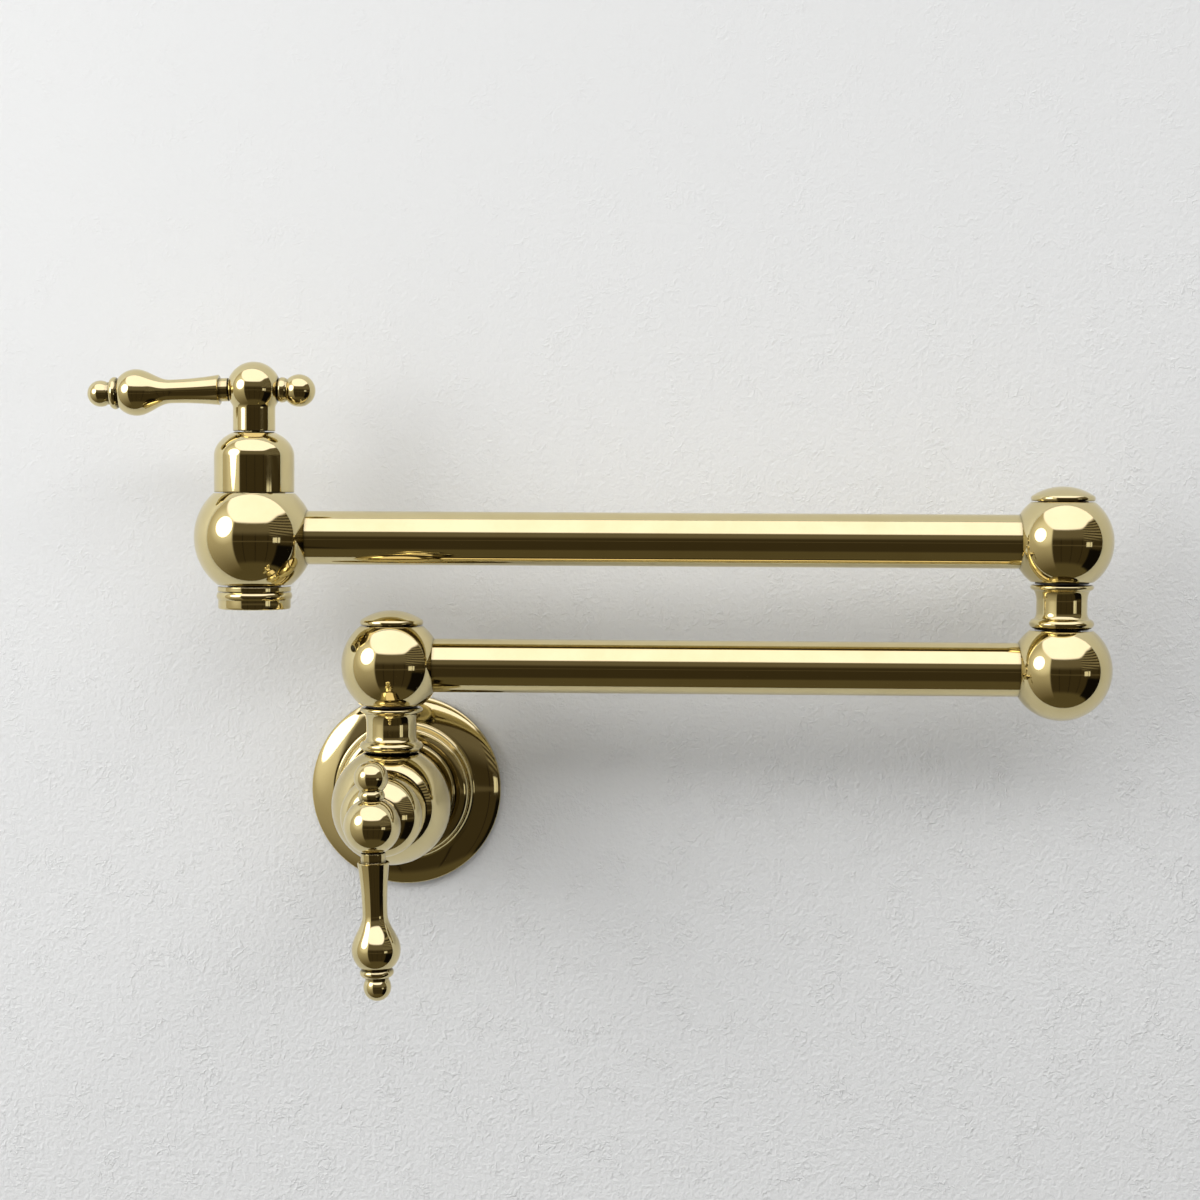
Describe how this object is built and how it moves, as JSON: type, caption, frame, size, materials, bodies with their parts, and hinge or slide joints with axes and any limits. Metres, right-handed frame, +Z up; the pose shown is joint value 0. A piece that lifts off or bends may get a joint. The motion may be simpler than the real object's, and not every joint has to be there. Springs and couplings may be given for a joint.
{
  "type": "wall mounted pot filler",
  "caption": "Wall mounted pot filler tap in polished brass: flange and lever valve at the wall, hollow arms that fold on ball swivels, and a lever valve with an aerator over the pot.",
  "frame": {"origin": "centre of the wall flange's back face, on the wall", "axes": "+Y into the wall, +Z up, and the folded arms lie along X with the elbow at +X"},
  "size_m": [0.3813, 0.1359, 0.2279],
  "materials": {
    "polished_brass": "polished",
    "machined_brass": "machined",
    "plain_steel": "plain",
    "black_rubber": "matte",
    "dark_nylon": "moulded",
    "white_ceramic": "lapped ceramic"
  },
  "bodies": {
    "wall_side": {"inlet_nipple": "machined_brass", "flange_gasket": "black_rubber", "wall_flange": "polished_brass", "flange_grub_screw": "plain_steel", "wall_valve_body": "polished_brass", "wall_seat_seal": "black_rubber", "wall_fixed_disc": "white_ceramic", "wall_cartridge": "machined_brass", "wall_bonnet": "polished_brass", "shoulder_neck": "polished_brass", "shoulder_lower_o_ring": "black_rubber", "shoulder_upper_o_ring": "black_rubber", "shoulder_thrust_washer": "dark_nylon", "shoulder_washer": "plain_steel", "shoulder_screw": "plain_steel"},
    "wall_handle": {"wall_turning_disc": "white_ceramic", "wall_stem": "machined_brass", "wall_hub": "polished_brass", "wall_lever": "polished_brass", "wall_finial": "polished_brass"},
    "lower_arm": {"shoulder_ball": "polished_brass", "shoulder_cap": "polished_brass", "lower_arm_tube": "polished_brass", "elbow_lower_ball": "polished_brass", "elbow_neck": "polished_brass", "elbow_lower_o_ring": "black_rubber", "elbow_upper_o_ring": "black_rubber", "elbow_thrust_washer": "dark_nylon", "elbow_washer": "plain_steel", "elbow_screw": "plain_steel"},
    "upper_arm": {"elbow_upper_ball": "polished_brass", "elbow_cap": "polished_brass", "upper_arm_tube": "polished_brass", "outlet_ball": "polished_brass", "spout_seat_seal": "black_rubber", "spout_fixed_disc": "white_ceramic", "spout_cartridge": "machined_brass", "spout_bonnet": "polished_brass", "outlet_collar": "polished_brass", "aerator_washer": "black_rubber", "aerator_insert": "dark_nylon", "aerator_shell": "polished_brass"},
    "spout_handle": {"spout_turning_disc": "white_ceramic", "spout_stem": "machined_brass", "spout_hub": "polished_brass", "spout_lever": "polished_brass", "spout_finial": "polished_brass"}
  },
  "joints": [
    {"name": "wall_handle_turn", "type": "hinge", "parent": "wall_side", "child": "wall_handle", "pos_m": [0, -0.1058, 0], "axis": [0, -1, 0], "range_deg": [0, 90]},
    {"name": "shoulder_swivel", "type": "hinge", "parent": "wall_side", "child": "lower_arm", "pos_m": [0, -0.0505, 0.0526], "axis": [0, 0, -1], "range_deg": [0, 180]},
    {"name": "elbow_swivel", "type": "hinge", "parent": "lower_arm", "child": "upper_arm", "pos_m": [0.2485, -0.0505, 0.1], "axis": [0, 0, 1], "continuous": true},
    {"name": "spout_handle_turn", "type": "hinge", "parent": "upper_arm", "child": "spout_handle", "pos_m": [-0.0515, -0.0505, 0.1553], "axis": [0, 0, 1], "range_deg": [0, 90]}
  ]
}
